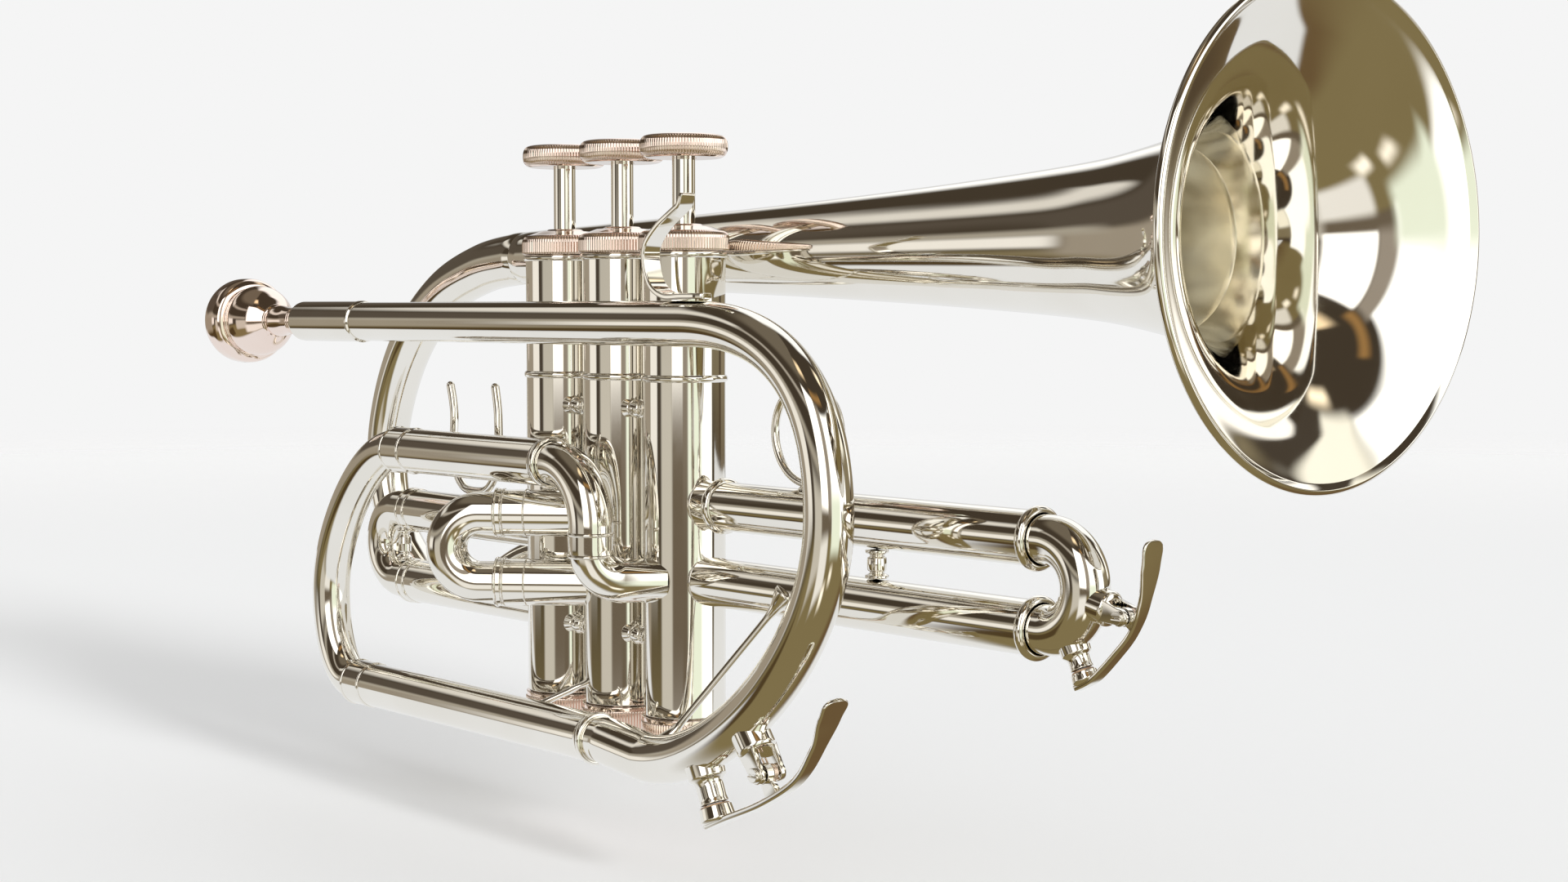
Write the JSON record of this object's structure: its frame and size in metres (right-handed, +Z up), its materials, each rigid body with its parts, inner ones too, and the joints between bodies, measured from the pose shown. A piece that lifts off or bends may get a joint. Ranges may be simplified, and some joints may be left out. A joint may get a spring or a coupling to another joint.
{
  "type": "cornet",
  "caption": "Silver-plated cornet with piston valves, a wrapped lead pipe, tuning and valve slides, spring water keys, a finger ring and a separate mouthpiece.",
  "frame": {"origin": "centre of the flat underside of the middle valve's bottom cap", "axes": "+X along the tubes towards the bell's mouth, +Y to the player's left, +Z up along the valves towards the finger buttons"},
  "size_m": [0.4091, 0.1256, 0.207],
  "materials": {
    "silver_plate": "mirror-polished warm silver plating on brass",
    "rose_plate": "polished plating with a rose tint on brass",
    "spring_wire": "bright phosphor bronze spring wire",
    "cork": "matt brown cork"
  },
  "bodies": {
    "horn": {"casing_1": "silver_plate", "casing_2": "silver_plate", "casing_3": "silver_plate", "casing_brace_upper_1": "silver_plate", "casing_brace_upper_2": "silver_plate", "casing_brace_lower_1": "silver_plate", "casing_brace_lower_2": "silver_plate", "transfer_tube_1": "silver_plate", "transfer_tube_2": "silver_plate", "mouthpiece_receiver": "silver_plate", "leadpipe_bow": "silver_plate", "lower_slide_sleeve": "silver_plate", "upper_slide_sleeve": "silver_plate", "valve_elbow": "silver_plate", "first_slide_upper_sleeve": "silver_plate", "first_slide_lower_sleeve": "silver_plate", "second_slide_upper_sleeve": "silver_plate", "second_slide_lower_sleeve": "silver_plate", "third_slide_upper_sleeve": "silver_plate", "third_slide_lower_sleeve": "silver_plate", "third_slide_post": "silver_plate", "finger_ring": "silver_plate", "first_slide_saddle": "silver_plate", "little_finger_hook": "silver_plate", "bow_brace": "silver_plate", "slide_brace": "silver_plate", "bell": "silver_plate", "bell_tail": "silver_plate", "bow_key_saddle": "silver_plate", "bow_key_nipple": "silver_plate", "top_cap_1": "rose_plate", "top_cap_2": "rose_plate", "top_cap_3": "rose_plate", "bottom_cap_1": "rose_plate", "bottom_cap_2": "rose_plate", "bottom_cap_3": "rose_plate", "valve_spring_1": "spring_wire", "valve_spring_2": "spring_wire", "valve_spring_3": "spring_wire", "bow_key_spring": "spring_wire"},
    "valve_1": {"piston_1": "silver_plate", "button_1": "rose_plate"},
    "valve_2": {"piston_2": "silver_plate", "button_2": "rose_plate"},
    "valve_3": {"piston_3": "silver_plate", "button_3": "rose_plate"},
    "main_slide": {"main_slide_crook": "silver_plate"},
    "first_slide": {"first_slide_crook": "silver_plate", "first_slide_post": "silver_plate"},
    "second_slide": {"second_slide_crook": "silver_plate"},
    "third_slide": {"third_slide_crook": "silver_plate", "slide_key_saddle": "silver_plate", "slide_key_nipple": "silver_plate", "slide_key_spring": "spring_wire"},
    "slide_key": {"slide_key_lever": "silver_plate", "slide_key_cork": "cork"},
    "bow_key": {"bow_key_lever": "silver_plate", "bow_key_cork": "cork"},
    "mouthpiece": {"mouthpiece": "rose_plate"}
  },
  "joints": [
    {"name": "valve_1_press", "type": "slide", "parent": "horn", "child": "valve_1", "axis": [0, 0, -1], "range_m": [0, 0.016], "stiffness_N_per_m": 150, "springref_m": -0.016, "deforming": ["valve_spring_1"]},
    {"name": "valve_2_press", "type": "slide", "parent": "horn", "child": "valve_2", "axis": [0, 0, -1], "range_m": [0, 0.016], "stiffness_N_per_m": 150, "springref_m": -0.016, "deforming": ["valve_spring_2"]},
    {"name": "valve_3_press", "type": "slide", "parent": "horn", "child": "valve_3", "axis": [0, 0, -1], "range_m": [0, 0.016], "stiffness_N_per_m": 150, "springref_m": -0.016, "deforming": ["valve_spring_3"]},
    {"name": "main_slide_pull", "type": "slide", "parent": "horn", "child": "main_slide", "axis": [-1, 0, 0], "range_m": [0, 0.03]},
    {"name": "first_slide_pull", "type": "slide", "parent": "horn", "child": "first_slide", "axis": [-1, 0, 0], "range_m": [0, 0.02]},
    {"name": "second_slide_pull", "type": "slide", "parent": "horn", "child": "second_slide", "axis": [-0.7071, -0.7071, 0], "range_m": [0, 0.015]},
    {"name": "third_slide_pull", "type": "slide", "parent": "horn", "child": "third_slide", "axis": [1, 0, 0], "range_m": [0, 0.03]},
    {"name": "slide_key_open", "type": "hinge", "parent": "third_slide", "child": "slide_key", "pos_m": [0.18957, 0, 0.0516], "axis": [0, -1, 0], "range_deg": [0, 15], "stiffness_Nm_per_rad": 0.05, "springref_deg": -34.38},
    {"name": "bow_key_open", "type": "hinge", "parent": "horn", "child": "bow_key", "pos_m": [0.0938, -0.0247, 0.00464], "axis": [0, -1, 0], "range_deg": [0, 15], "stiffness_Nm_per_rad": 0.06, "springref_deg": -34.38},
    {"name": "mouthpiece_pull", "type": "slide", "parent": "horn", "child": "mouthpiece", "axis": [-1, 0, 0], "range_m": [0, 0.02]}
  ]
}
